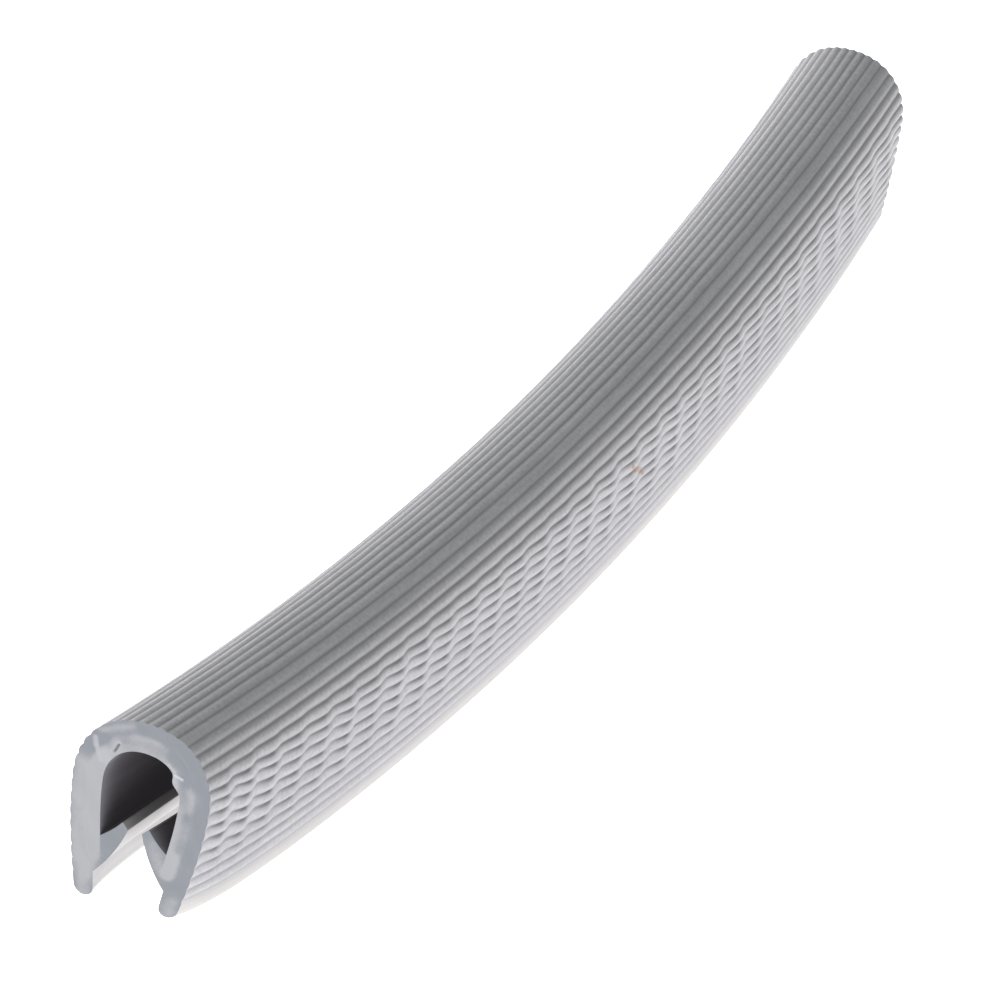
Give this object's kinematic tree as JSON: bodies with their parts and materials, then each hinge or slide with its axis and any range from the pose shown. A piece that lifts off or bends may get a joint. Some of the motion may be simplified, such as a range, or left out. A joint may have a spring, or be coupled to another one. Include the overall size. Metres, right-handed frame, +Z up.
{
  "type": "edge trim seal",
  "caption": "Short, gently bent length of grey ribbed edge trim: a horseshoe channel, open below, with inner grip lips that push onto the edge of a sheet.",
  "frame": {"origin": "centre of the base of the trim's box, on the floor that its leg tips stand on at mid-length", "axes": "+Y along the trim from the nearer cut to the farther one, +Z up through the crown at mid-length, +X across it to the right"},
  "size_m": [0.0126, 0.1232, 0.0169],
  "materials": {
    "sheath": "soft grey plasticised PVC with fine lengthwise ribs and a dull satin sheen",
    "band": "paler, milky grey plastic as a blade left it"
  },
  "bodies": {
    "root": {"pvc_sheath": "sheath", "carrier_band": "band"}
  },
  "joints": []
}
